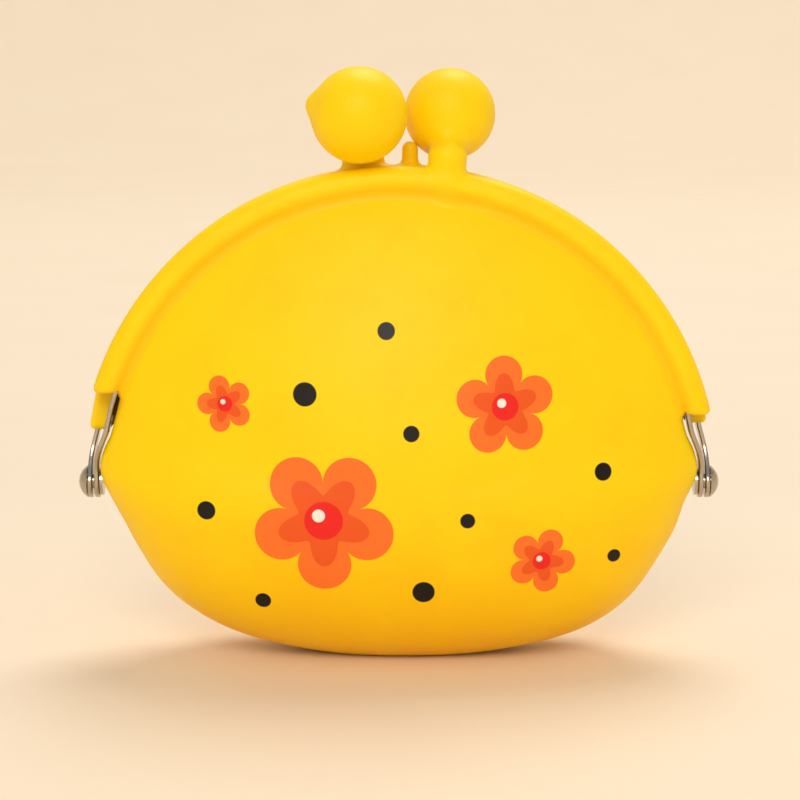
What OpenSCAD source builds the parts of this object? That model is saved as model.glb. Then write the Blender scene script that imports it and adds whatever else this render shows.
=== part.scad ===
// Squeeze coin purse: a moulded silicone pouch on a steel kiss-lock frame with two crossing balls.
// It stands upright on its flat foot. The front faces -Y and the origin is the middle of the foot.

/* [Pouch] */
// Radius of the mouth's arc about the hinge line, where the wall meets the rim
mouth_radius = 48.7; // [42:0.1:58]
// Height of the hinge line above the table
hinge_height = 28.7; // [25:0.1:34]
// Half of the pouch's depth at its fullest point
pouch_half_depth = 20.5; // [17:0.1:25]
// Half of the pouch's depth along the mouth
mouth_half_depth = 4.6; // [3.6:0.1:5]
// Thickness of the silicone wall
silicone_wall = 1.8; // [1.2:0.1:2.2]
// How far the waist stands inside the mouth's arc at the hinge line
waist_inset = 1.1; // [0.8:0.1:3]
// How far the side corners swell out just above the hinge line
corner_swell = 1.6; // [0.2:0.1:1.7]
// How full the outline of the round bottom is, where 2 is an ellipse
bottom_fullness = 2.2; // [2:0.05:2.4]
// Height of the round bottom that is cut away to make the flat foot
foot_cut = 0.8; // [0.4:0.1:2]

/* [Flexing band] */
// Height of the base's top edge above the hinge line
base_top = 6; // [4:0.1:7]
// Height of the swinging walls' lower edge above the hinge line
wall_bottom = 13.5; // [13:0.1:16]
// Slit between the flexing band and its neighbours
band_gap = 0.2; // [0.1:0.05:0.4]
// How far the band's sides stand inside the pouch's outline
band_inset = 0.45; // [0.3:0.05:1]

/* [Rim] */
// Height of the rim, measured outwards from the mouth's arc
rim_height = 4.3; // [4.1:0.1:6]
// Depth of each rim from front to back
rim_depth = 5.35; // [5.2:0.05:7]
// Gap between the two closed rims
rim_gap = 0.3; // [0.2:0.05:0.8]
// Radius of the rim's outer corners
rim_corner = 1; // [0.4:0.1:1.4]
// Angle above the hinge line at which the front rim ends
front_rim_end = 14.5; // [13:0.5:24]
// Angle above the hinge line at which the rear rim ends
rear_rim_end = 10; // [9.5:0.5:20]
// Clearance between the wall's edge and the rim that it runs into
wall_seat_gap = 0.05; // [0.02:0.01:0.1]

/* [Steel frame] */
// Thickness of the steel strip
strip_thickness = 0.9; // [0.6:0.05:1]
// Width of the steel strip from front to back
strip_width = 4; // [3:0.1:4.2]
// Distance from the mouth's arc out to the front strip
strip_inset = 1.2; // [0.8:0.05:1.3]
// Clearance between a strip and its channel in the rim
strip_clearance = 0.05; // [0.02:0.01:0.1]
// Diameter of the round tabs at the hinge
tab_diameter = 6.6; // [5.6:0.1:7]
// Gap between a front tab and the rear tab beside it
tab_gap = 0.25; // [0.15:0.05:0.4]
// Height above the hinge line at which the arm starts to lean towards its tab
arm_height = 5.5; // [4.5:0.1:7]

/* [Rivets] */
// Diameter of the rivet's shank
shank_diameter = 2.5; // [2:0.1:3]
// Running clearance around the shank, on its radius
shank_clearance = 0.03; // [0.01:0.01:0.1]
// Diameter of the flat head on the inside
inner_head_diameter = 4.6; // [4:0.1:5.4]
// Thickness of the flat head on the inside
inner_head_thickness = 0.5; // [0.3:0.05:0.7]
// Diameter of the domed head on the outside
outer_head_diameter = 5.4; // [4:0.1:6]
// Height of the domed head on the outside
outer_head_height = 1.5; // [1:0.1:1.8]
// Gap between a head and its tab
head_gap = 0.05; // [0.03:0.01:0.1]

/* [Clasp] */
// Outside diameter of the silicone ball cover
ball_diameter = 15.6; // [13:0.1:16.6]
// Thickness of the silicone ball cover
cover_thickness = 1.77; // [1.2:0.01:2.6]
// Clearance between the metal ball and its cover
cover_clearance = 0.03; // [0.02:0.01:0.1]
// Gap between the two balls as they pass each other
ball_pair_gap = 0.3; // [0.2:0.05:1]
// Sideways shift of the pair of balls from the middle of the purse
ball_pair_shift = 0.25; // [0:0.05:1]
// Distance of each ball's centre from the purse's middle plane
ball_lean = 4.5; // [3.5:0.1:6]
// Gap between a ball and the circle that the other rim's top sweeps
ball_swing_gap = 0.15; // [0.1:0.05:1]
// Diameter of the steel stem inside the neck
stem_diameter = 2.4; // [1.6:0.1:2.8]
// Clearance around the stem in its hole, on its radius
stem_clearance = 0.06; // [0.03:0.01:0.1]
// Height of a collar above the top of the rim, up to the knee of the neck
collar_height = 1.6; // [1.2:0.1:2.4]
// Width of the left collar, on the rear rim
left_collar_width = 7; // [5.6:0.1:8]
// Width of the right collar, on the front rim
right_collar_width = 5.8; // [5.6:0.1:8]
// Diameter of the neck between a collar and its ball
neck_diameter = 4.8; // [4:0.1:5]
// Gap between a neck's end and the ball cover
neck_gap = 0.15; // [0.05:0.05:0.3]
// Diameter of the small pip on the rear rim
pip_diameter = 2.3; // [1.6:0.1:2.4]
// Height of the pip above the top of the rim
pip_height = 2.2; // [1.2:0.1:2.3]
// Distance of the pip from the middle of the purse
pip_offset = 1.45; // [1.3:0.05:1.5]

/* [Hidden] */
$fn = 96;

// Colours of the moulding and of the plated steel
silicone_colour = [1, 0.8, 0.08];
steel_colour = [0.78, 0.78, 0.8];

// Outline of the pouch: a full curve below the hinge line that grows into the mouth's arc above it
waist = mouth_radius - waist_inset;
drop = hinge_height + foot_cut;
corner_angle = 4;
corner_spread = 5;
arc_from_angle = 15;

// Angles between which the round lower profile becomes the flatter one of the mouth
blend_from = -8;
blend_to = 16;
lower_power = 2.2;
lower_root = 2.1;
mouth_inner_thinning = 1.25;
mouth_inner_spread = 0.5;

// Fineness of the moulded surfaces
ring_points = 56;
ring_angles = 13;
wall_columns = 40;
wall_rows = 10;
band_columns = 32;
band_rows = 2;
outline_steps = 24;
wall_corner_height = 1.2;
seam_tolerance = 0.001;

// Radii of the frame, counted from the hinge line
rim_outer = mouth_radius + rim_height;
front_strip_inner = mouth_radius + strip_inset;
front_strip_outer = front_strip_inner + strip_thickness;
rear_strip_inner = front_strip_outer + tab_gap;
rear_strip_outer = rear_strip_inner + strip_thickness;
rim_near = rim_gap / 2;
rim_far = rim_near + rim_depth;
rim_middle = (rim_near + rim_far) / 2;
strip_near = rim_middle - strip_width / 2;
strip_far = rim_middle + strip_width / 2;
shank_radius = shank_diameter / 2;
tab_radius = tab_diameter / 2;

// Places of the clasp, with heights counted from the hinge line
ball_radius = ball_diameter / 2;
hollow_ball_radius = ball_radius - cover_thickness;
metal_ball_radius = hollow_ball_radius - cover_clearance;
stem_radius = stem_diameter / 2;
rim_sweep = norm([rim_outer, rim_far]);
ball_reach = rim_sweep + ball_swing_gap + ball_radius;
ball_height = sqrt(ball_reach * ball_reach - ball_lean * ball_lean);
half_pitch = (ball_diameter + ball_pair_gap) / 2;
left_ball_x = ball_pair_shift - half_pitch;
right_ball_x = ball_pair_shift + half_pitch;
knee_height = rim_outer + collar_height;

// Fit of the collars, necks and stems
collar_inset = 0.15;
collar_depth = rim_depth - collar_inset;
collar_root = mouth_radius + rim_height / 2;
knuckle_swell = 1.12;
stem_foot_gap = 0.03;
stem_end_depth = 0.6;
stem_end_gap = 0.05;

// Shape of the steel arms, which overlap the strip above and taper onto the round tab below
arm_overlap = 1.2;
arm_inset = 0.1;
arm_foot_share = 0.95;
arm_foot_angle = 15;

function smooth(t) = let(c = min(max(t, 0), 1)) c * c * (3 - 2 * c);
function mix(a, b, t) = a + (b - a) * t;

// Radius of the pouch's outline at an angle above the hinge line
function bottom_radius(angle) =
    pow(
        pow(cos(angle) / waist, bottom_fullness) + pow(abs(sin(angle)) / drop, bottom_fullness),
        -1 / bottom_fullness
    );
function swell(angle) = corner_swell * exp(-pow((angle - corner_angle) / corner_spread, 2));
function body_radius(angle) =
    angle <= 0 ? bottom_radius(angle) : mix(waist, mouth_radius, smooth(angle / arc_from_angle));
function outline_radius(angle) =
    angle >= arc_from_angle ? mouth_radius : body_radius(angle) + swell(angle);
function mouth_share(angle) = smooth((angle - blend_from) / (blend_to - blend_from));

// Radius of the outline of the hollow inside, which runs up to the rim along the mouth
function hollow_radius(angle) =
    outline_radius(angle) - mix(silicone_wall, -mouth_inner_spread, mouth_share(angle));
function edge_radius(angle, hollow) = hollow ? hollow_radius(angle) : outline_radius(angle);

// Half of the depth of the outer surface, or of the hollow, at a place in the front view
function half_depth(x, h, hollow) =
    let(
        angle = atan2(h, abs(x)),
        share = mouth_share(angle),
        reach = min(norm([x, h]) / edge_radius(angle, hollow), 1),
        full = pouch_half_depth - (hollow ? silicone_wall : 0),
        edge = mouth_half_depth - (hollow ? silicone_wall * mouth_inner_thinning : 0),
        upper = edge + (full - edge) * (1 - reach * reach),
        lower = full * pow(1 - pow(reach, lower_power), 1 / lower_root)
    )
    mix(lower, upper, share);

// Angle at which the outline passes a height, found by halving
function angle_at(h, hollow, low = -90, high = 60, steps = outline_steps) =
    let(middle = (low + high) / 2)
    steps == 0 ? middle :
    edge_radius(middle, hollow) * sin(middle) < h
        ? angle_at(h, hollow, middle, high, steps - 1)
        : angle_at(h, hollow, low, middle, steps - 1);
function half_width(h, hollow) =
    let(angle = angle_at(h, hollow)) edge_radius(angle, hollow) * cos(angle);

// Closed ring of points round the pouch at one height
function ring(h, hollow) =
    let(width = half_width(h, hollow))
    [
        for (i = [0:ring_points - 1])
            let(
                turn = 360 * i / ring_points,
                x = width * cos(turn),
                side = sin(turn)
            )
            [x, abs(side) < seam_tolerance ? 0 : sign(side) * half_depth(x, h, hollow), hinge_height + h]
    ];

// Rings from a floor height up to the base's top edge, spaced evenly by angle
function cup_rings(floor_height, hollow) =
    let(
        first = angle_at(floor_height, hollow),
        last = angle_at(base_top, hollow)
    )
    [
        for (i = [0:ring_angles])
            let(angle = mix(first, last, i / ring_angles))
            ring(
                i == 0 ? floor_height : i == ring_angles ? base_top : edge_radius(angle, hollow) * sin(angle),
                hollow
            )
    ];

function flat(list) = [for (row = list) each row];
function triangles(a, b, c, d) = [[c, b, a], [d, c, a]];

// Solid between two stacks of closed rings, open at the top and closed by two flat floors
module cup(outer, inner) {
    rows = len(outer);
    turns = len(outer[0]);
    inner_start = rows * turns;
    outer_floor = 2 * inner_start;
    inner_floor = outer_floor + 1;
    floor_points = [
        [0, 0, outer[0][0].z],
        [0, 0, inner[0][0].z]
    ];
    side_faces = [
        for (r = [0:rows - 2], c = [0:turns - 1])
            let(n = (c + 1) % turns, low = r * turns, high = low + turns)
            each concat(
                triangles(low + c, low + n, high + n, high + c),
                triangles(
                    inner_start + low + c, inner_start + high + c,
                    inner_start + high + n, inner_start + low + n
                )
            )
    ];
    top = (rows - 1) * turns;
    end_faces = [
        for (c = [0:turns - 1])
            let(n = (c + 1) % turns)
            each concat(
                triangles(top + c, top + n, inner_start + top + n, inner_start + top + c),
                [[c, n, outer_floor], [inner_start + n, inner_start + c, inner_floor]]
            )
    ];
    polyhedron(concat(flat(outer), flat(inner), floor_points), concat(side_faces, end_faces));
}

// Solid sheet between two grids of points that have the same rows and columns
module sheet(outer, inner) {
    rows = len(outer);
    columns = len(outer[0]);
    start = rows * columns;
    face_faces = [
        for (r = [0:rows - 2], c = [0:columns - 2])
            let(low = r * columns + c, high = low + columns)
            each concat(
                triangles(low, low + 1, high + 1, high),
                triangles(start + low, start + high, start + high + 1, start + low + 1)
            )
    ];
    top = (rows - 1) * columns;
    level_faces = [
        for (c = [0:columns - 2])
            each concat(
                triangles(start + c, start + c + 1, c + 1, c),
                triangles(top + c, top + c + 1, start + top + c + 1, start + top + c)
            )
    ];
    end = columns - 1;
    upright_faces = [
        for (r = [0:rows - 2])
            let(low = r * columns, high = low + columns)
            each concat(
                triangles(low, high, start + high, start + low),
                triangles(high + end, low + end, start + low + end, start + high + end)
            )
    ];
    polyhedron(concat(flat(outer), flat(inner)), concat(face_faces, level_faces, upright_faces));
}

// Grid of points on the front wall, in upright columns from its lower edge to the mouth's arc
function wall_grid(hollow) =
    let(
        arc = mouth_radius - wall_seat_gap,
        last_angle = acos((wall_bottom + wall_corner_height) / arc)
    )
    [
        for (r = [0:wall_rows])
            [
                for (c = [0:wall_columns])
                    let(
                        angle = mix(-last_angle, last_angle, c / wall_columns),
                        x = arc * sin(angle),
                        h = mix(wall_bottom, arc * cos(angle), r / wall_rows)
                    )
                    [x, -half_depth(x, h, hollow), hinge_height + h]
            ]
    ];

// Grid of points on the front flexing band, which turns in to the purse's middle plane at both ends
function band_grid(hollow) =
    let(low = base_top + band_gap, high = wall_bottom - band_gap)
    [
        for (r = [0:band_rows])
            let(
                h = mix(low, high, r / band_rows),
                width = half_width(h, false) - band_inset - (hollow ? silicone_wall : 0),
                seam = [[width, -band_gap / 2, hinge_height + h]]
            )
            concat(
                [[-width, -band_gap / 2, hinge_height + h]],
                [
                    for (c = [0:band_columns])
                        let(x = width * sin(mix(-90, 90, c / band_columns)))
                        [x, -half_depth(x, h, hollow), hinge_height + h]
                ],
                seam
            )
    ];

// Stretch of a ring about the hinge line, with its profile drawn as radius and distance to the front
module arc_sweep(start, end) {
    translate([0, 0, hinge_height])
        rotate([90, 0, 0])
            rotate([0, 0, start])
                rotate_extrude(angle = end - start)
                    children();
}

module rectangle(r_from, r_to, y_from, y_to) {
    translate([r_from, y_from])
        square([r_to - r_from, y_to - y_from]);
}

module rim_profile() {
    rectangle(mouth_radius, rim_outer - rim_corner, rim_near, rim_far);
    rectangle(mouth_radius, rim_outer, rim_near + rim_corner, rim_far - rim_corner);
    for (y = [rim_near + rim_corner, rim_far - rim_corner])
        translate([rim_outer - rim_corner, y])
            circle(rim_corner);
}

module strip_profile(strip_inner, clearance) {
    rectangle(
        strip_inner - clearance, strip_inner + strip_thickness + clearance,
        strip_near - clearance, strip_far + clearance
    );
}

// Rod with round ends between two points in an upright plane that runs from front to back
module rod(x, from, to, radius) {
    run = to - from;
    translate([x, from.x, hinge_height + from.y])
        rotate([atan2(-run.x, run.y), 0, 0])
            cylinder(h = norm(run), r = radius);
}

module ball_at(x, place, radius) {
    translate([x, place.x, hinge_height + place.y])
        sphere(radius);
}

// The front clasp's stem rises from its rim, bends at the knee and leans back to its ball.
// Its places are given as distance behind the middle plane and height above the hinge line.
knee = [-rim_middle, knee_height];
ball_centre = [ball_lean, ball_height];
lean_direction = (ball_centre - knee) / norm(ball_centre - knee);
stem_tip = ball_centre + stem_end_depth * lean_direction;

module bent_rod(x, from_height, end_point, radius) {
    rod(x, [-rim_middle, from_height], knee, radius);
    ball_at(x, knee, radius * knuckle_swell);
    rod(x, knee, end_point, radius);
}

module stem_shape(x, strip_inner, radius, end_point) {
    difference() {
        bent_rod(x, strip_inner, end_point, radius);
        arc_sweep(0, 180)
            rectangle(
                mouth_radius - rim_height, strip_inner + strip_thickness + stem_foot_gap,
                rim_near - rim_depth, rim_far + rim_depth
            );
    }
}

// Collar and neck of one clasp, with the ball's seat cut out
module collar(x, width) {
    side = (width - collar_depth) / 2;
    difference() {
        union() {
            translate([x, -rim_middle, hinge_height + collar_root])
                linear_extrude(knee_height - collar_root) {
                    square([2 * side, collar_depth], center = true);
                    for (offset_x = [-side, side])
                        translate([offset_x, 0])
                            circle(collar_depth / 2);
                }
            bent_rod(x, collar_root, ball_centre, neck_diameter / 2);
        }
        ball_at(x, ball_centre, ball_radius + neck_gap);
    }
}

module rim_sleeve(x, collar_width, strip_inner, end_angle) {
    difference() {
        union() {
            arc_sweep(end_angle, 180 - end_angle)
                rim_profile();
            collar(x, collar_width);
            children();
        }
        arc_sweep(0, 180)
            strip_profile(strip_inner, strip_clearance);
        stem_shape(x, strip_inner, stem_radius + stem_clearance, ball_centre);
    }
}

// Small pip moulded on the back of the right ball's place, drawn on the front rim before mirroring
module pip() {
    tip = rim_outer + pip_height - pip_diameter / 2;
    rod(pip_offset, [-rim_middle, collar_root], [-rim_middle, tip], pip_diameter / 2);
    ball_at(pip_offset, [-rim_middle, tip], pip_diameter / 2);
}

// Steel strip bent to the mouth's arc, whose arms lean in to round tabs on the hinge line
module steel_frame(strip_inner) {
    arm_angle = asin((arm_height - arm_overlap) / strip_inner);
    arm_foot = arm_foot_share * tab_radius;
    difference() {
        union() {
            arc_sweep(arm_angle, 180 - arm_angle)
                strip_profile(strip_inner, 0);
            for (side = [0, 1])
                mirror([side, 0, 0])
                    translate([strip_inner, 0, hinge_height])
                        rotate([90, 0, 90])
                            linear_extrude(strip_thickness) {
                                circle(tab_radius);
                                polygon([
                                    [arm_inset - strip_far, arm_height],
                                    arm_foot * [-cos(arm_foot_angle), -sin(arm_foot_angle)],
                                    arm_foot * [cos(arm_foot_angle), sin(arm_foot_angle)],
                                    [-strip_near - arm_inset, arm_height]
                                ]);
                            }
        }
        translate([0, 0, hinge_height])
            rotate([0, 90, 0])
                cylinder(h = 3 * rim_outer, r = shank_radius + shank_clearance, center = true);
    }
}

module metal_ball(x) {
    difference() {
        ball_at(x, ball_centre, metal_ball_radius);
        rod(x, knee, stem_tip + stem_end_gap * lean_direction, stem_radius + stem_clearance);
    }
}

module ball_cover(x) {
    difference() {
        ball_at(x, ball_centre, ball_radius);
        ball_at(x, ball_centre, hollow_ball_radius);
        rod(x, knee, ball_centre, stem_radius + stem_clearance);
    }
}

module rivet() {
    shank_end = rear_strip_outer + head_gap;
    inner_face = front_strip_inner - head_gap - inner_head_thickness;
    shank_start = inner_face + inner_head_thickness / 2;
    dome_radius = (pow(outer_head_diameter / 2, 2) + pow(outer_head_height, 2)) / (2 * outer_head_height);
    translate([0, 0, hinge_height])
        rotate([0, 90, 0]) {
            translate([0, 0, inner_face])
                cylinder(h = inner_head_thickness, d = inner_head_diameter);
            translate([0, 0, shank_start])
                cylinder(h = shank_end + inner_head_thickness / 2 - shank_start, r = shank_radius);
            intersection() {
                translate([0, 0, shank_end + outer_head_height - dome_radius])
                    sphere(dome_radius);
                translate([0, 0, shank_end])
                    cylinder(h = outer_head_height, d = 2 * outer_head_diameter);
            }
        }
}

module pouch_base() {
    color(silicone_colour)
        cup(cup_rings(-hinge_height, false), cup_rings(silicone_wall - hinge_height, true));
}

module front_flex_band() {
    color(silicone_colour)
        sheet(band_grid(false), band_grid(true));
}

module rear_flex_band() {
    mirror([0, 1, 0])
        front_flex_band();
}

module front_wall() {
    color(silicone_colour)
        sheet(wall_grid(false), wall_grid(true));
}

module rear_wall() {
    mirror([0, 1, 0])
        front_wall();
}

module front_rim() {
    color(silicone_colour)
        rim_sleeve(right_ball_x, right_collar_width, front_strip_inner, front_rim_end);
}

module rear_rim() {
    color(silicone_colour)
        mirror([0, 1, 0])
            rim_sleeve(left_ball_x, left_collar_width, rear_strip_inner, rear_rim_end)
                pip();
}

module front_steel_frame() {
    color(steel_colour)
        steel_frame(front_strip_inner);
}

module rear_steel_frame() {
    color(steel_colour)
        mirror([0, 1, 0])
            steel_frame(rear_strip_inner);
}

module front_clasp_stem() {
    color(steel_colour)
        stem_shape(right_ball_x, front_strip_inner, stem_radius, stem_tip);
}

module rear_clasp_stem() {
    color(steel_colour)
        mirror([0, 1, 0])
            stem_shape(left_ball_x, rear_strip_inner, stem_radius, stem_tip);
}

module front_metal_ball() {
    color(steel_colour)
        metal_ball(right_ball_x);
}

module rear_metal_ball() {
    color(steel_colour)
        mirror([0, 1, 0])
            metal_ball(left_ball_x);
}

module front_ball_cover() {
    color(silicone_colour)
        ball_cover(right_ball_x);
}

module rear_ball_cover() {
    color(silicone_colour)
        mirror([0, 1, 0])
            ball_cover(left_ball_x);
}

module hinge_rivets() {
    color(steel_colour)
        for (side = [0, 1])
            mirror([side, 0, 0])
                rivet();
}

pouch_base();
front_flex_band();
rear_flex_band();
front_wall();
rear_wall();
front_rim();
rear_rim();
front_steel_frame();
rear_steel_frame();
front_clasp_stem();
rear_clasp_stem();
front_metal_ball();
rear_metal_ball();
front_ball_cover();
rear_ball_cover();
hinge_rivets();
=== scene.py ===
"""Squeeze coin purse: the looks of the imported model, built round its fixed frame.

The front faces -Y and Z is up. Shapes are worked out in millimetres, as x, the distance out from
the purse's middle plane, and the height above the hinge line, and become metres in their meshes.
"""
import math

import bpy
import numpy as np
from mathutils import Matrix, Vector


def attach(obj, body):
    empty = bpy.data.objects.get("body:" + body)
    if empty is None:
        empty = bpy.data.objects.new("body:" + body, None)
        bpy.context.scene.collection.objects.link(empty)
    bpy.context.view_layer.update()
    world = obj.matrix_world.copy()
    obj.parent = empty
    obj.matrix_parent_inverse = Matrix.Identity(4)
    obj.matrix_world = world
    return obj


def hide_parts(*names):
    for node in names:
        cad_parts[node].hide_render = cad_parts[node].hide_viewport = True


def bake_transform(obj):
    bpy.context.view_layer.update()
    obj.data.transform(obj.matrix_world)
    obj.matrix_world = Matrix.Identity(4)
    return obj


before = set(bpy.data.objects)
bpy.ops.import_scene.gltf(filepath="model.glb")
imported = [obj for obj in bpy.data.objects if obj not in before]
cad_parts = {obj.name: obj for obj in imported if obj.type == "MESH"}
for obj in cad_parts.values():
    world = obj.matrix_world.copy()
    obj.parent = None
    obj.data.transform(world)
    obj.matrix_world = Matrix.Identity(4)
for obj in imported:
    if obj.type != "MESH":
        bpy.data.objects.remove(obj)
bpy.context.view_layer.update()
MM = 0.001


# Driving dimensions, in millimetres

hinge_height = 28.7
mouth_radius = 48.7
half_depth = 20.48
mouth_half_depth = 4.6
wall = 1.8
waist = mouth_radius - 1.1
drop = hinge_height + 0.8
bottom_fullness = 2.2

rim_height = 4.3
rim_depth = 5.35
rim_gap = 0.3
rim_outer = mouth_radius + rim_height
rim_middle = (rim_gap + rim_depth) / 2
rim_centre = mouth_radius + rim_height / 2

strip_width = 4
strip_thickness = 0.75
strip_rounding = 0.22
tab_radius = 2.7
arm_top = 13

ball_lean = 4.5
ball_height = 61.0
collar_height = rim_outer + 2.2
collar_depth = 5.2
collar_rounding = 1.6
neck_radius = 2.6
neck_start = collar_height - 0.8
nub_reach = 7.2
nub_rise = 1.7
nub_radius = 1.0
nub_fillet = 2.8
pip_x = 1.85
pip_height = rim_outer + 2.2
pip_radius = 1.35
clasp_fillet = 1.2

# Where the outline leaves its plain curve, as a share of it: how far, at what angle, how widely
SIDE_FLATTENING = (0.021, -15, 9)
CORNER_FILLING = (0.013, -40, 13)
# The swell at the two side corners, in millimetres and degrees
corner_swell = 2.2
corner_angle = 3
corner_spread_below = 5.5
corner_spread_above = 6

# The pouch leans to the right towards its foot: sideways shifts, each between two heights
LEANS = [(0.45, -2, -8), (0.7, -14, -26)]

# How full the pouch is from its middle out to its edge
upper_power = 2
lower_power = 2.2
lower_root = 2.1
lining_overlap = 0.5
lining_inset = 1.25 * wall

# The gusset's fold beside the hinge, the wall's free edge and its root in the rim
fold_depth = 2.2
fold_spread = 2.2
free_edge = 0.35
free_edge_ends = 0.5
root_depth = 1.2
root_spread = 1.2
root_fillet = 2.2
free_fillet = 0.1
fillet_spread = 4
mouth_opening = 12

# The shallow valley that runs along inside the rim
valley_depth = 0.3
valley_radius = mouth_radius - 0.3
valley_spread = 2.2

# Roundings between the pouch's faces
seam_rounding = 0.05
edge_rounding = 1.55
foot_rounding = 0.6
lining_rounding = 0.8
lining_foot_rounding = 1
lip_rounding = 0.4

# Angles above the hinge line, in degrees, between which parts of the form come in
UPPER_FORM = (-8, 16)
ABOVE_HINGE = (0, 15)
FOLD_STARTS = (-6, 8)
FOLD_ENDS = (14, 18)
EDGE_FREES = (7, 10)
MOUTH_OPENS = (8.2, 10.2)
SLEEVE_WIDENS = (11, 23)
APEX_LOWERS = (45, 85)

# Roundings of the rim, and where it grows rounder with distance up from the hinge and out
rim_inner_rounding = 0.8
rim_face_rounding = 1.2
rim_outer_rounding = 2.1
rim_end_rounding = 1.2
RIM_ROUNDS_UP = (mouth_radius + 0.7, mouth_radius + 2.7)
RIM_ROUNDS_OUT = (1.5, 4.5)
apex_lowering = 0.15

# Heights between which the silicone goes from still to swinging, in the middle and at the sides
SWING_AT_MIDDLE = (-18, 27)
SWING_AT_SIDES = (0, 12)
side_reach = 47
# Beside the seam it stays still, up to the heights between which the seam parts
seam_spread = 4.2
SEAM_PARTS = (8.5, 11)
# The rim swings whole, from this angle up
rim_swing_radius = mouth_radius - 0.2
rim_swing_angle = 8

# What differs between the halves. In pairs, the left value seen from the front comes first. Rim
# ends are heights above the hinge line, and root angles are where the wall joins the rim
HALVES = {
    "front": {
        "sign": -1,
        "collar_x": 7.95,
        "neck_x": 8.0,
        "ball_x": 8.45,
        "collar_width": 5.8,
        "ball_fillet": 1.8,
        "rim_ends": (15.4, 11.8),
        "root_angles": (17.6, 13.6),
        "rim_end_narrowing": 0,
        "strip_radius": mouth_radius + 0.5,
        "tab_x": 50.35,
        "ball_radius": 7.55,
        "has_nub_and_pip": False,
    },
    "rear": {
        "sign": 1,
        "collar_x": -5.9,
        "neck_x": -6.7,
        "ball_x": -6.45,
        "collar_width": 7.0,
        "ball_fillet": 0.5,
        "rim_ends": (8.6, 9.7),
        "root_angles": (12.4, 12.4),
        "rim_end_narrowing": 0.25,
        "strip_radius": mouth_radius + 2.4,
        "tab_x": 51.5,
        "ball_radius": 7.87,
        "has_nub_and_pip": True,
    },
}


# Shape maths

def smooth(t):
    t = np.clip(t, 0, 1)
    return t * t * (3 - 2 * t)


def rise(value, start, end):
    """Goes smoothly from 0 at start to 1 at end."""
    return smooth((value - start) / (end - start))


def bell(value, height, middle, spread):
    """A smooth hump round a middle value."""
    return height * np.exp(-(((value - middle) / spread) ** 2))


def mix(a, b, t):
    return a + (b - a) * t


def turned(x, h):
    """Distance from the hinge line seen from the front, and degrees above it on either side."""
    return np.hypot(x, h), np.degrees(np.arctan2(h, np.abs(x)))


def soft_least(a, b, fillet):
    """The smaller of two distances, with a fillet where they come close."""
    near = np.maximum(fillet - np.abs(a - b), 0) / fillet
    return np.minimum(a, b) - near * near * fillet / 4


def soft_most(a, b, round_off):
    return -soft_least(-a, -b, round_off)


def outline(angle):
    """Radius of the pouch's outline at an angle above the hinge line."""
    turn = np.radians(angle)
    across = np.abs(np.cos(turn)) / waist
    down = np.abs(np.sin(turn)) / drop
    below = (across ** bottom_fullness + down ** bottom_fullness) ** (-1 / bottom_fullness)
    below = below * (1 - bell(angle, *SIDE_FLATTENING) + bell(angle, *CORNER_FILLING))
    above = mix(waist, mouth_radius, rise(angle, *ABOVE_HINGE))
    spread = np.where(angle < corner_angle, corner_spread_below, corner_spread_above)
    return np.where(angle <= 0, below, above) + bell(angle, corner_swell, corner_angle, spread)


def depth(reach, angle, share, hollow):
    """Half of the pouch's depth on its outer face, or in the hollow."""
    side = outline(angle) - (mix(wall, -lining_overlap, share) if hollow else 0)
    full = half_depth - (wall if hollow else 0)
    edge = mouth_half_depth - (lining_inset if hollow else 0)
    part = np.minimum(reach / side, 1)
    upper = edge + (full - edge) * (1 - part ** upper_power)
    lower = full * (1 - part ** lower_power) ** (1 / lower_root)
    return mix(lower, upper, share)


def pouch_wall(x, q, h, half):
    """Distance to the soft wall, whose side folds in to a gusset under the ends of the rims."""
    x = x - sum(shift * rise(h, start, end) for shift, start, end in LEANS)
    reach, angle = turned(x, h)
    share = rise(angle, *UPPER_FORM)
    folded = rise(angle, *FOLD_STARTS) * (1 - rise(angle, *FOLD_ENDS))
    fold = bell(q, fold_depth, 0, fold_spread) * folded
    joined = np.where(x < 0, *half["root_angles"])
    joins = rise(angle, joined - free_edge_ends, joined + free_edge_ends)
    notch = free_edge * rise(angle, *EDGE_FREES) * (1 - joins)
    root = root_depth * rise(angle, joined, joined + root_spread)
    side = outline(angle) - fold - notch + root
    valley = bell(reach, valley_depth, valley_radius, valley_spread) * share
    face = depth(reach, angle, share, False) - valley
    outer = soft_most(q - face, reach - side, mix(seam_rounding, edge_rounding, share))
    outer = soft_most(outer, -hinge_height - h, foot_rounding)
    open_side = side - wall + mouth_opening * rise(angle, *MOUTH_OPENS)
    hollow = soft_most(q - depth(reach, angle, share, True), reach - open_side, lining_rounding)
    hollow = soft_most(hollow, wall - hinge_height - h, lining_foot_rounding)
    return np.maximum(soft_most(outer, -hollow, lip_rounding), -q)


def rim_sleeve(x, q, h, half):
    """Distance to the thick rim round the steel strip, with its flat-cut ends."""
    reach, angle = turned(x, h)
    face_corner = mix(rim_face_rounding, rim_outer_rounding, rise(reach, *RIM_ROUNDS_UP))
    corner = mix(rim_inner_rounding, face_corner, rise(q, *RIM_ROUNDS_OUT))
    narrowing = half["rim_end_narrowing"] * (1 - rise(angle, *SLEEVE_WIDENS))
    narrowing = narrowing + apex_lowering * rise(angle, *APEX_LOWERS)
    up = np.abs(reach - rim_centre + narrowing) - rim_height / 2 + narrowing + corner
    out = np.abs(q - rim_middle) - rim_depth / 2 + corner
    outside = np.hypot(np.maximum(up, 0), np.maximum(out, 0))
    round_bar = outside + np.minimum(np.maximum(up, out), 0) - corner
    past_end = np.where(x < 0, *half["rim_ends"]) - h
    return soft_most(round_bar, past_end, rim_end_rounding)


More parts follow.
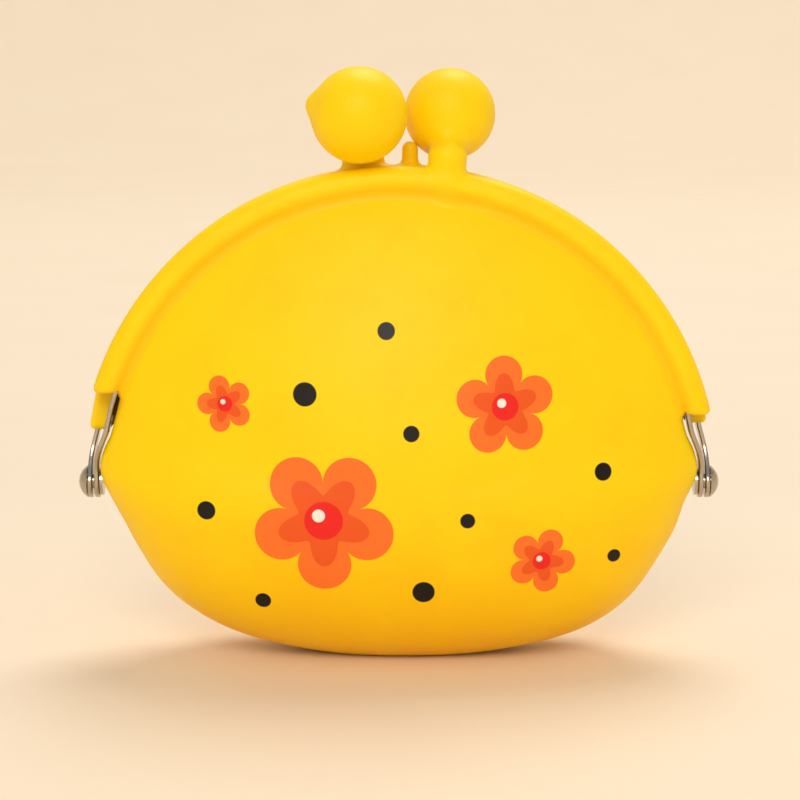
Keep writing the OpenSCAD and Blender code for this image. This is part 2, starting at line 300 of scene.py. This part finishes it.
def ball(place, centre, radius):
    """Distance to a ball."""
    return np.sqrt(sum((place[i] - centre[i]) ** 2 for i in range(3))) - radius


def rod(place, start, end, radius):
    """Distance to a round-ended rod."""
    run = np.subtract(end, start)
    along = sum((place[i] - start[i]) * run[i] for i in range(3)) / (run @ run)
    along = np.clip(along, 0, 1)
    return ball(place, [start[i] + along * run[i] for i in range(3)], radius)


def clasp(x, q, h, half):
    """Distance to the collar, neck and covered ball of one half."""
    place = (x, q, h)
    side = (half["collar_width"] - collar_depth) / 2
    aside = np.maximum(np.abs(x - half["collar_x"]) - side, 0)
    collar = np.hypot(aside, q - rim_middle) - collar_depth / 2
    above = np.abs(h - rim_centre) - (collar_height - rim_centre)
    collar = soft_most(collar, above, collar_rounding)
    centre = (half["ball_x"], -ball_lean, ball_height)
    neck = rod(place, (half["neck_x"], rim_middle, neck_start), centre, neck_radius)
    cover = ball(place, centre, half["ball_radius"])
    made = soft_least(soft_least(collar, neck, half["ball_fillet"]), cover, half["ball_fillet"])
    if half["has_nub_and_pip"]:
        tip = (half["ball_x"] - nub_reach, -ball_lean, ball_height + nub_rise)
        made = soft_least(made, rod(place, centre, tip, nub_radius), nub_fillet)
        foot = (pip_x, rim_middle, rim_centre)
        top = (pip_x, rim_middle, pip_height)
        made = np.minimum(made, rod(place, foot, top, pip_radius))
    return made


def moulding_distance(x, q, h, half):
    """Distance to one half's whole moulding. The wall is free of the rim near the sleeves' ends."""
    angle = turned(x, h)[1]
    joined = np.where(x < 0, *half["root_angles"])
    fillet = mix(free_fillet, root_fillet, rise(angle, joined, joined + fillet_spread))
    body = soft_least(pouch_wall(x, q, h, half), rim_sleeve(x, q, h, half), fillet)
    return soft_least(body, clasp(x, q, h, half), clasp_fillet)


# Mesh making

grid_step = 0.4
grid_margin = 2
foot_margin = 1
ball_margin = 1.5 * grid_step
halvings = 7
relax_rounds = 3
RELAX_SHARES = (0.5, -0.52)
# How near the middle plane a point or a face's centre counts as on it
point_on_plane = 0.5 * grid_step
face_on_plane = 0.12 * grid_step
open_radius = mouth_radius - 0.1


def surface_of(field, low, high, step):
    """Points and four-sided faces where a field changes sign, one point in each cube it crosses."""
    low = np.array(low, float)
    counts = [int(math.ceil((b - a) / step)) + 1 for a, b in zip(low, high)]
    axes = [a + step * np.arange(n) for a, n in zip(low, counts)]
    inside = field(*np.meshgrid(*axes, indexing="ij")) < 0
    strides = np.array([counts[1] * counts[2], counts[2], 1])
    cells, spots, rings = [], [], []
    for axis in range(3):
        here = np.take(inside, range(counts[axis] - 1), axis)
        there = np.take(inside, range(1, counts[axis]), axis)
        at = np.argwhere(here != there)
        leaving = here[tuple(at.T)]
        start = low + step * at
        near = np.zeros(len(at))
        far = np.ones(len(at))
        for _ in range(halvings):
            middle = (near + far) / 2
            spot = start.copy()
            spot[:, axis] += step * middle
            same = (field(*spot.T) < 0) == leaving
            near = np.where(same, middle, near)
            far = np.where(same, far, middle)
        u, v = (axis + 1) % 3, (axis + 2) % 3
        ring = []
        for du, dv in ((0, 0), (-1, 0), (-1, -1), (0, -1)):
            cell = at.copy()
            cell[:, u] += du
            cell[:, v] += dv
            ring.append(cell @ strides)
            cells.append(ring[-1])
            spots.append(spot)
        ring = np.stack(ring, 1)
        ring[~leaving] = ring[~leaving][:, ::-1]
        rings.append(ring)
    used, which = np.unique(np.concatenate(cells), return_inverse=True)
    count = np.bincount(which)
    spots = np.concatenate(spots)
    points = np.stack([np.bincount(which, spots[:, i]) / count for i in range(3)], 1)
    faces = np.searchsorted(used, np.concatenate(rings))
    return points, faces


def face_edges(faces):
    return np.concatenate([faces[:, [i, (i + 1) % 4]] for i in range(4)])


def relax(points, faces, hold):
    """Evens out the points without shrinking the form. Points in hold keep to the middle plane."""
    a, b = face_edges(faces).T
    size = len(points)
    count = np.maximum(np.bincount(a, minlength=size) + np.bincount(b, minlength=size), 1)
    for share in RELAX_SHARES * relax_rounds:
        total = np.zeros_like(points)
        for i in range(3):
            total[:, i] = np.bincount(a, points[b, i], size) + np.bincount(b, points[a, i], size)
        points = points + share * (total / count[:, None] - points)
        points[hold, 1] = 0
    return points


def mesh_object(name, points, faces):
    mesh = bpy.data.meshes.new(name)
    mesh.vertices.add(len(points))
    mesh.vertices.foreach_set("co", (points * MM).astype(np.float32).ravel())
    mesh.loops.add(faces.size)
    mesh.loops.foreach_set("vertex_index", faces.astype(np.int32).ravel())
    mesh.polygons.add(len(faces))
    starts = np.arange(0, faces.size, faces.shape[1], dtype=np.int32)
    mesh.polygons.foreach_set("loop_start", starts)
    mesh.update(calc_edges=True)
    mesh.validate()
    mesh.shade_smooth()
    made = bpy.data.objects.new(name, mesh)
    bpy.context.scene.collection.objects.link(made)
    return made


def keep_values(piece, name, values):
    """Stores one number or one place for each point of a mesh."""
    kind = "FLOAT" if values.ndim == 1 else "FLOAT_VECTOR"
    field = "value" if values.ndim == 1 else "vector"
    attribute = piece.data.attributes.new(name, kind, "POINT")
    attribute.data.foreach_set(field, values.astype(np.float32).ravel())


# The two mouldings

def swing_share(x, q, h):
    """How far each point of a moulding follows its swinging half: 0 at the foot, 1 at the rim."""
    reach, angle = turned(x, h)
    aside = rise(np.abs(x), 0, side_reach)
    start, end = (mix(a, b, aside) for a, b in zip(SWING_AT_MIDDLE, SWING_AT_SIDES))
    by_height = rise(h, start, end)
    by_seam = mix(rise(q, 0, seam_spread), 1, rise(h, *SEAM_PARTS))
    in_rim = (reach > rim_swing_radius) & (angle > rim_swing_angle)
    return np.where(in_rim, 1, by_height * by_seam)


def open_middle(points, faces):
    """Takes out the cut faces on the middle plane, where one moulding runs into the other."""
    x, q, h = points.T
    on_plane = (np.abs(q) < point_on_plane) & (np.hypot(x, h) < open_radius)
    centre = points[faces].mean(1)
    middle_face = on_plane[faces].all(1) & (np.abs(centre[:, 1]) < face_on_plane)
    used, faces = np.unique(faces[~middle_face], return_inverse=True)
    return points[used], faces.reshape(-1, 4)


def make_moulding(name):
    """One half of the silicone, meshed from its distance field."""
    half = HALVES[name]
    sideways = rim_outer + grid_margin
    inward = ball_lean + half["ball_radius"] + ball_margin
    outward = half_depth + grid_margin
    top = ball_height + half["ball_radius"] + grid_margin
    points, faces = surface_of(
        lambda x, q, h: moulding_distance(x, q, h, half),
        (-sideways, -inward, -hinge_height - foot_margin),
        (sideways, outward, top),
        grid_step,
    )
    points, faces = open_middle(points, faces)
    edges, times = np.unique(np.sort(face_edges(faces), axis=1), axis=0, return_counts=True)
    points = relax(points, faces, np.unique(edges[times == 1]))

    x, q, h = points.T
    reach, angle = turned(x, h)
    share = rise(angle, *UPPER_FORM)
    outer_face = q > 0.5 * (depth(reach, angle, share, False) + depth(reach, angle, share, True))
    sign = half["sign"]
    placed = np.stack([x, sign * q, h + hinge_height], 1)
    if sign < 0:
        faces = faces[:, ::-1]
    piece = mesh_object(name + "_moulding", placed, faces)
    keep_values(piece, "moulded_place", placed)
    keep_values(piece, "outer_face", outer_face.astype(float))
    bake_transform(piece)
    shares = swing_share(x, q, h).astype(np.float32)
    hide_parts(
        "pouch_base", name + "_flex_band", name + "_wall", name + "_rim", name + "_ball_cover"
    )
    return piece


# Steel frames

# Turns round a tab, in degrees from its lowest point, and heights between which an arm bends
TAB_TURNS = (2, 14, 27, 40, 53, 66, 80, 94, 108, 122)
arm_steps = 14
arc_steps = 31
ARM_BENDS_ASIDE = (2.5, 9.5)
ARM_BENDS_OUT = (0.3, 6.8)
shoulder_rounding = 0.8
least_flat = 0.02
CORNER_TURNS = (0, 30, 60, 90)


def strip_line(half):
    """Places along a strip's middle from tab to tab, each with x, q, height and half the width."""
    radius = half["strip_radius"]
    tab = [-tab_radius * math.cos(math.radians(a)) for a in TAB_TURNS]
    arm = [mix(tab[-1], arm_top, (i + 1) / arm_steps) for i in range(arm_steps)]
    heights = np.array(tab + arm)
    arc_x = np.sqrt(radius ** 2 - heights ** 2)
    x = mix(half["tab_x"], arc_x, rise(heights, *ARM_BENDS_ASIDE))
    q = rim_middle * rise(heights, *ARM_BENDS_OUT)
    disc = np.sqrt(np.maximum(tab_radius ** 2 - heights ** 2, 0))
    width = np.where(heights > 0, soft_most(disc, strip_width / 2, shoulder_rounding), disc)
    turns = np.linspace(np.arcsin(arm_top / radius), math.pi / 2, arc_steps + 1)[1:]
    x = np.concatenate([x, radius * np.cos(turns)])
    q = np.concatenate([q, np.full(len(turns), rim_middle)])
    heights = np.concatenate([heights, radius * np.sin(turns)])
    width = np.concatenate([width, np.full(len(turns), strip_width / 2)])
    right = np.stack([x, q, heights, width], 1)
    left = right[-2::-1] * (-1, 1, 1, 1)
    return np.concatenate([right, left])


def make_steel_frame(name):
    """Stamped strip with rounded edges, swept over its arc and down its arms to the round tabs."""
    half = HALVES[name]
    line = strip_line(half)
    place = line[:, [0, 2]]
    ahead = np.gradient(place, axis=0)
    ahead /= np.linalg.norm(ahead, axis=1)[:, None]
    out = np.stack([ahead[:, 1], -ahead[:, 0]], 1)
    flat_side = strip_thickness / 2 - strip_rounding
    section = []
    for across, up, first in ((1, 1, 0), (-1, 1, 90), (-1, -1, 180), (1, -1, 270)):
        for turn in CORNER_TURNS:
            a = math.radians(first + turn)
            section.append((across, math.cos(a), up * flat_side + strip_rounding * math.sin(a)))
    points = []
    for i, (x, q, h, width) in enumerate(line):
        flat = max(width - strip_rounding, least_flat)
        for across, bulge, thick in section:
            sideways = across * flat + min(strip_rounding, width) * bulge
            points.append((x + out[i, 0] * thick, q + sideways, h + out[i, 1] * thick))
    count = len(section)
    rows = len(line)
    faces = []
    for r in range(rows - 1):
        for c in range(count):
            n = (c + 1) % count
            faces.append((r * count + c, r * count + n, (r + 1) * count + n, (r + 1) * count + c))
    half_way = count // 2
    for start in (0, (rows - 1) * count):
        for c in range(half_way - 1):
            quad = (start + c, start + count - 1 - c, start + count - 2 - c, start + c + 1)
            faces.append(quad if start else quad[::-1])
    sign = half["sign"]
    placed = np.array(points) * (1, sign, 1) + (0, 0, hinge_height)
    faces = np.array(faces)
    if sign > 0:
        faces = faces[:, ::-1]
    piece = mesh_object(name + "_steel_strip", placed, faces)
    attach(piece, name + "_half")
    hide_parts(name + "_steel_frame")
    return piece


# Finishes

class Socket:
    """One output of a finish's nodes, on which arithmetic adds Math nodes."""

    def __init__(self, finish, output):
        self.finish = finish
        self.output = output

    def maths(self, operation, *values):
        return self.finish.node("ShaderNodeMath", {"operation": operation}, dict(enumerate(values)))

    def __add__(self, other):
        return self.maths("ADD", self, other)

    __radd__ = __add__

    def __sub__(self, other):
        return self.maths("SUBTRACT", self, other)

    def __rsub__(self, other):
        return self.maths("SUBTRACT", other, self)

    def __mul__(self, other):
        return self.maths("MULTIPLY", self, other)

    def __truediv__(self, other):
        return self.maths("DIVIDE", self, other)

    def __pow__(self, other):
        return self.maths("POWER", self, other)

    def __abs__(self):
        return self.maths("ABSOLUTE", self)

    def cos(self):
        return self.maths("COSINE", self)

    def clamped(self):
        return self.maths("MINIMUM", self.maths("MAXIMUM", self, 0.0), 1.0)

    def or_more(self, other):
        return self.maths("MAXIMUM", self, other)


class Finish:
    """One procedural material round a Principled shader."""

    def __init__(self, name):
        self.material = bpy.data.materials.new(name)
        self.material.use_nodes = True
        self.tree = self.material.node_tree
        self.shader = self.tree.nodes["Principled BSDF"]

    def node(self, kind, settings=None, inputs=None, output=0):
        made = self.tree.nodes.new(kind)
        for name, value in (settings or {}).items():
            setattr(made, name, value)
        for name, value in (inputs or {}).items():
            self.feed(made.inputs[name], value)
        return Socket(self, made.outputs[output])

    def feed(self, target, value):
        if isinstance(value, Socket):
            self.tree.links.new(value.output, target)
        else:
            target.default_value = value

    def set(self, **sockets):
        for name, value in sockets.items():
            self.feed(self.shader.inputs[name.replace("_", " ")], value)

    def blend_colours(self, share, first, second):
        # The Mix node's colour sockets share their names with others, so they go by number
        inputs = {0: share, 6: first, 7: second}
        return self.node("ShaderNodeMix", {"data_type": "RGBA"}, inputs, 2)

    def stored_place(self, name):
        return self.node("ShaderNodeAttribute", {"attribute_name": name}, output="Vector")

    def stored_number(self, name):
        return self.node("ShaderNodeAttribute", {"attribute_name": name}, output="Fac")

    def object_place(self):
        return self.node("ShaderNodeTexCoord", output="Object")

    def split(self, place):
        parts = self.node("ShaderNodeSeparateXYZ", inputs={"Vector": place})
        return [Socket(self, output) for output in parts.output.node.outputs]

    def noise(self, place, scale, detail, roughness):
        inputs = {"Vector": place, "Scale": scale, "Detail": detail, "Roughness": roughness}
        return self.node("ShaderNodeTexNoise", inputs=inputs)

    def bump(self, height, distance):
        inputs = {"Height": height, "Distance": distance, "Strength": 1.0}
        return self.node("ShaderNodeBump", inputs=inputs)


def colour(red, green, blue):
    """A colour given in a screen's steps from 0 to 255, as the shader takes it."""
    made = []
    for step in (red / 255, green / 255, blue / 255):
        made.append(step / 12.92 if step <= 0.04045 else ((step + 0.055) / 1.055) ** 2.4)
    return tuple(made) + (1.0,)


YELLOW = colour(255, 216, 0)
# Deeper yellow for the random cloudy tone and for the painted shade low down
TONE_AND_SHADE_YELLOW = colour(255, 190, 0)
VALLEY_SHADE_YELLOW = colour(247, 184, 0)
# Painted shade colour for the valley inside the rim
ORANGE_INK = colour(250, 120, 42)
DEEP_ORANGE_INK = colour(236, 92, 30)
RED_INK = colour(236, 38, 32)
BLACK_INK = colour(24, 18, 18)
WHITE_INK = colour(244, 240, 232)
NICKEL = colour(190, 181, 167)
HAZY_NICKEL = colour(152, 143, 128)
FLOOR_CREAM = colour(243, 226, 202)
FLOOR_SAND = colour(240, 221, 195)

# Scale, detail and roughness of each noise: per millimetre on silicone, per metre elsewhere
CLOUD = (0.09, 3.0, 0.5)
RIPPLE = (0.22, 2.0, 0.5)
GRAIN = (5.0, 3.0, 0.6)
HAZE = (900.0, 3.0, 0.5)
MARKS = (5200.0, 2.0, 0.7)
FLOOR_CLOUD = (14.0, 2.0, 0.5)

# How the yellow deepens, in random clouds and with painted shade low down and in the valley inside
# the rim, as shares and heights above the hinge line
cloud_start = 0.4
cloud_share = 0.7
# Painted shade: the yellow darkens below this height, over this span
painted_shade_below = 6
painted_shade_over = 38
painted_shade_share = 0.75
# Painted shade in the valley just inside the rim, on the outer face
shade_radius = mouth_radius - 0.1
shade_width = 1.7
shade_above = 9
shade_over = 4
shade_share = 0.5

# The silicone's roughness and the heights of its grain and ink, in millimetres
silicone_roughness = 0.4
cloud_roughness = 0.08
grain_roughness = 0.06
ink_smoothness = 0.1
grain_height = 0.012
ripple_height = 0.16
ink_height = 0.03

# The plating's roughness and haze, and the height of its rubbing marks, in metres
nickel_roughness = 0.08
haze_roughness = 0.12
marks_roughness = 0.05
haze_share = 0.6
marks_height = 0.00001

floor_roughness = 0.6

# The print: the ink's soft edge in millimetres, and the parts of a flower as shares of its radius
ink_edge = 0.12
petal_count = 5
petal_roundness = 0.55
petal_length = 0.48
petal_start = 0.52
heart_length = 0.3
heart_start = 0.36
middle_size = 0.27
spot_size = 0.09
spot_shift = 0.07

# Flowers: x, height above the hinge line, radius, turn
FLOWERS = [
    (-12, -3, 11.5, 0.3),
    (17, 15, 8, 0.9),
    (23, -10, 5.5, 0.1),
    (-28, 15, 4.6, 0.6),
]
# Dots: x, height above the hinge line, radius
DOTS = [
    (-31, -2, 1.5),
    (-15, 17, 1.9),
    (2, 11, 1.3),
    (4, -15, 1.8),
    (33, 4, 1.4),
    (11, -3, 1.2),
    (-2, 27, 1.4),
    (35, -10, 1.1),
    (-22, -17, 1.3),
]


def away_from(x, h, left, low):
    """Distance from one point of the front view, in nodes."""
    across = x - left
    up = h - low
    return (across * across + up * up) ** 0.5


def inked(reach):
    """1 inside a printed shape's edge and 0 outside it, with a soft step between."""
    return (reach / ink_edge + 0.5).clamped()


def flower_masks(x, h, flower):
    """Masks of one flower's petals, petal hearts, middle and white spot."""
    left, low, radius, turn = flower
    away = away_from(x, h, left, low)
    around = x.maths("ARCTAN2", h - low, x - left) + turn
    lobe = abs((around * (petal_count / 2)).cos()) ** petal_roundness
    shift = spot_shift * radius
    away_from_spot = away_from(x, h, left - shift, low + shift)
    return [
        inked(lobe * (petal_length * radius) + petal_start * radius - away),
        inked(lobe ** 3.0 * (heart_length * radius) + heart_start * radius - away),
        inked(middle_size * radius - away),
        inked(spot_size * radius - away_from_spot),
    ]


def print_masks(x, h, face):
    """Each ink's colour with its mask on the outer face, and the mask of all the ink."""
    masks = []
    ink = None
    for flower in FLOWERS:
        parts = [face * mask for mask in flower_masks(x, h, flower)]
        masks += zip(parts, (ORANGE_INK, DEEP_ORANGE_INK, RED_INK, WHITE_INK))
        ink = parts[0] if ink is None else ink.or_more(parts[0])
    dots = None
    for left, low, radius in DOTS:
        dot = inked(radius - away_from(x, h, left, low))
        dots = dot if dots is None else dots.or_more(dot)
    dots = face * dots
    masks.append((dots, BLACK_INK))
    return masks, ink.or_more(dots)


def silicone(name, printed):
    """Satin silicone with a soft glow under its skin, a fine matt grain and, if asked, the print."""
    finish = Finish(name)
    place = finish.stored_place("moulded_place")
    face = finish.stored_number("outer_face")
    x, _, z = finish.split(place)
    h = z - hinge_height
    cloud = finish.noise(place, *CLOUD)
    grain = finish.noise(place, *GRAIN)
    ripple = finish.noise(place, *RIPPLE)
    # Painted shade that darkens the lower body, mixed with the random cloudy tone
    shade_and_tone = ((painted_shade_below - h) / painted_shade_over).clamped() * painted_shade_share
    shade_and_tone = ((cloud - cloud_start) * cloud_share + shade_and_tone).clamped()
    base = finish.blend_colours(shade_and_tone, YELLOW, TONE_AND_SHADE_YELLOW)
    # Painted shade along the valley just inside the rim
    off_valley = abs(away_from(x, h, 0, 0) - shade_radius) / shade_width
    shade = (1 - off_valley * off_valley).clamped()
    shade = shade * ((h - shade_above) / shade_over).clamped() * shade_share
    base = finish.blend_colours(shade * face, base, VALLEY_SHADE_YELLOW)
    rough = silicone_roughness + cloud * cloud_roughness + grain * grain_roughness
    height = grain * grain_height + ripple * ripple_height
    if printed:
        masks, ink = print_masks(x, h, face)
        for mask, ink_colour in masks:
            base = finish.blend_colours(mask, base, ink_colour)
        rough = rough - ink * ink_smoothness
        height = height + ink * ink_height
    finish.set(Base_Color=base, Roughness=rough, Normal=finish.bump(height, MM))
    finish.set(Subsurface_Weight=0.2, Subsurface_Radius=(1.0, 0.4, 0.05), Subsurface_Scale=0.0015)
    finish.set(IOR=1.41, Specular_IOR_Level=0.3)
    return finish.material


def nickel():
    """Bright nickel plating with a fine haze of rubbing marks."""
    finish = Finish("nickel_plating")
    place = finish.object_place()
    haze = finish.noise(place, *HAZE)
    marks = finish.noise(place, *MARKS)
    base = finish.blend_colours((haze * haze_share).clamped(), NICKEL, HAZY_NICKEL)
    rough = nickel_roughness + haze * haze_roughness + marks * marks_roughness
    finish.set(Base_Color=base, Metallic=1.0, Roughness=rough)
    finish.set(Normal=finish.bump(marks, marks_height))
    return finish.material


# Pieces

front_moulding = make_moulding("front")
rear_moulding = make_moulding("rear")
front_moulding.data.materials.append(silicone("printed_silicone", True))
rear_moulding.data.materials.append(silicone("plain_silicone", False))

plating = nickel()
for name in HALVES:
    make_steel_frame(name).data.materials.append(plating)
plated_nodes = [name + "_clasp_stem" for name in HALVES] + [name + "_metal_ball" for name in HALVES]
for node in plated_nodes + ["hinge_rivets"]:
    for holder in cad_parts[node].material_slots:
        holder.link = "OBJECT"
        holder.material = plating


# Stage, light and camera

# The stage and the light are in metres
floor_centre = 0.5
floor_flat = 1.5
floor_bend = 1.5
floor_turn = 80
floor_sides = 96
floor_steps = 20


def make_floor():
    """Pale round floor that curves up into a backdrop far away on every side."""
    profile = [(floor_centre, 0.0), (floor_flat, 0.0)]
    for i in range(1, floor_steps + 1):
        a = math.radians(floor_turn * i / floor_steps)
        profile.append((floor_flat + floor_bend * math.sin(a), floor_bend * (1 - math.cos(a))))
    points = [(0.0, 0.0, 0.0)]
    for r, z in profile:
        for i in range(floor_sides):
            a = 2 * math.pi * i / floor_sides
            points.append((r * math.cos(a), r * math.sin(a), z))
    faces = [(0, 1 + i, 1 + (i + 1) % floor_sides) for i in range(floor_sides)]
    for ring in range(len(profile) - 1):
        inner = 1 + ring * floor_sides
        outer = inner + floor_sides
        for i in range(floor_sides):
            j = (i + 1) % floor_sides
            faces.append((inner + i, outer + i, outer + j))
            faces.append((inner + i, outer + j, inner + j))
    floor = mesh_object("floor", np.array(points) / MM, np.array(faces))
    finish = Finish("floor_paint")
    cloud = finish.noise(finish.object_place(), *FLOOR_CLOUD)
    base = finish.blend_colours(cloud, FLOOR_CREAM, FLOOR_SAND)
    finish.set(Base_Color=base, Roughness=floor_roughness)
    floor.data.materials.append(finish.material)


def make_lamp(name, place, aim, size, power, tint):
    """A round soft lamp that faces its aim."""
    data = bpy.data.lights.new(name, "AREA")
    data.shape = "DISK"
    data.size = size
    data.energy = power
    data.color = tint
    lamp = bpy.data.objects.new(name, data)
    lamp.location = place
    lamp.rotation_mode = "QUATERNION"
    lamp.rotation_quaternion = (Vector(aim) - Vector(place)).to_track_quat("-Z", "Y")
    bpy.context.scene.collection.objects.link(lamp)


def make_world(tint, strength):
    """Even light from all round."""
    world = bpy.data.worlds.new("studio")
    world.use_nodes = True
    background = world.node_tree.nodes["Background"]
    background.inputs["Color"].default_value = tint + (1,)
    background.inputs["Strength"].default_value = strength
    bpy.context.scene.world = world


def make_camera(aim, width, tip):
    """The photograph's view, from straight ahead, tipped down a little. Width is across the aim."""
    aim = Vector(aim)
    data = bpy.data.cameras.new("photo_view")
    data.sensor_width = 36
    data.lens = 110
    distance = width * data.lens / data.sensor_width
    camera = bpy.data.objects.new("photo_view", data)
    back = Vector((0, -math.cos(tip), math.sin(tip)))
    camera.location = aim + back * distance
    camera.rotation_mode = "QUATERNION"
    camera.rotation_quaternion = (-back).to_track_quat("-Z", "Y")
    data.clip_start = 0.01
    data.clip_end = 30
    bpy.context.scene.collection.objects.link(camera)
    bpy.context.scene.camera = camera


make_floor()
make_world(tint=(1, 0.98, 0.95), strength=0.47)
make_lamp(
    "back_light",
    place=(0.35, 1.3, 2.4),
    aim=(0, 0, 0.04),
    size=1.6,
    power=36,
    tint=(1, 0.99, 0.96),
)
make_lamp(
    "front_light",
    place=(-0.2, -2.6, 1.75),
    aim=(0, 0, 0.05),
    size=1.7,
    power=39,
    tint=(1, 0.98, 0.95),
)
make_camera(aim=(0.0002, 0, 0.0424), width=0.8 / 6, tip=math.radians(8))
bpy.context.scene.view_settings.view_transform = "Standard"
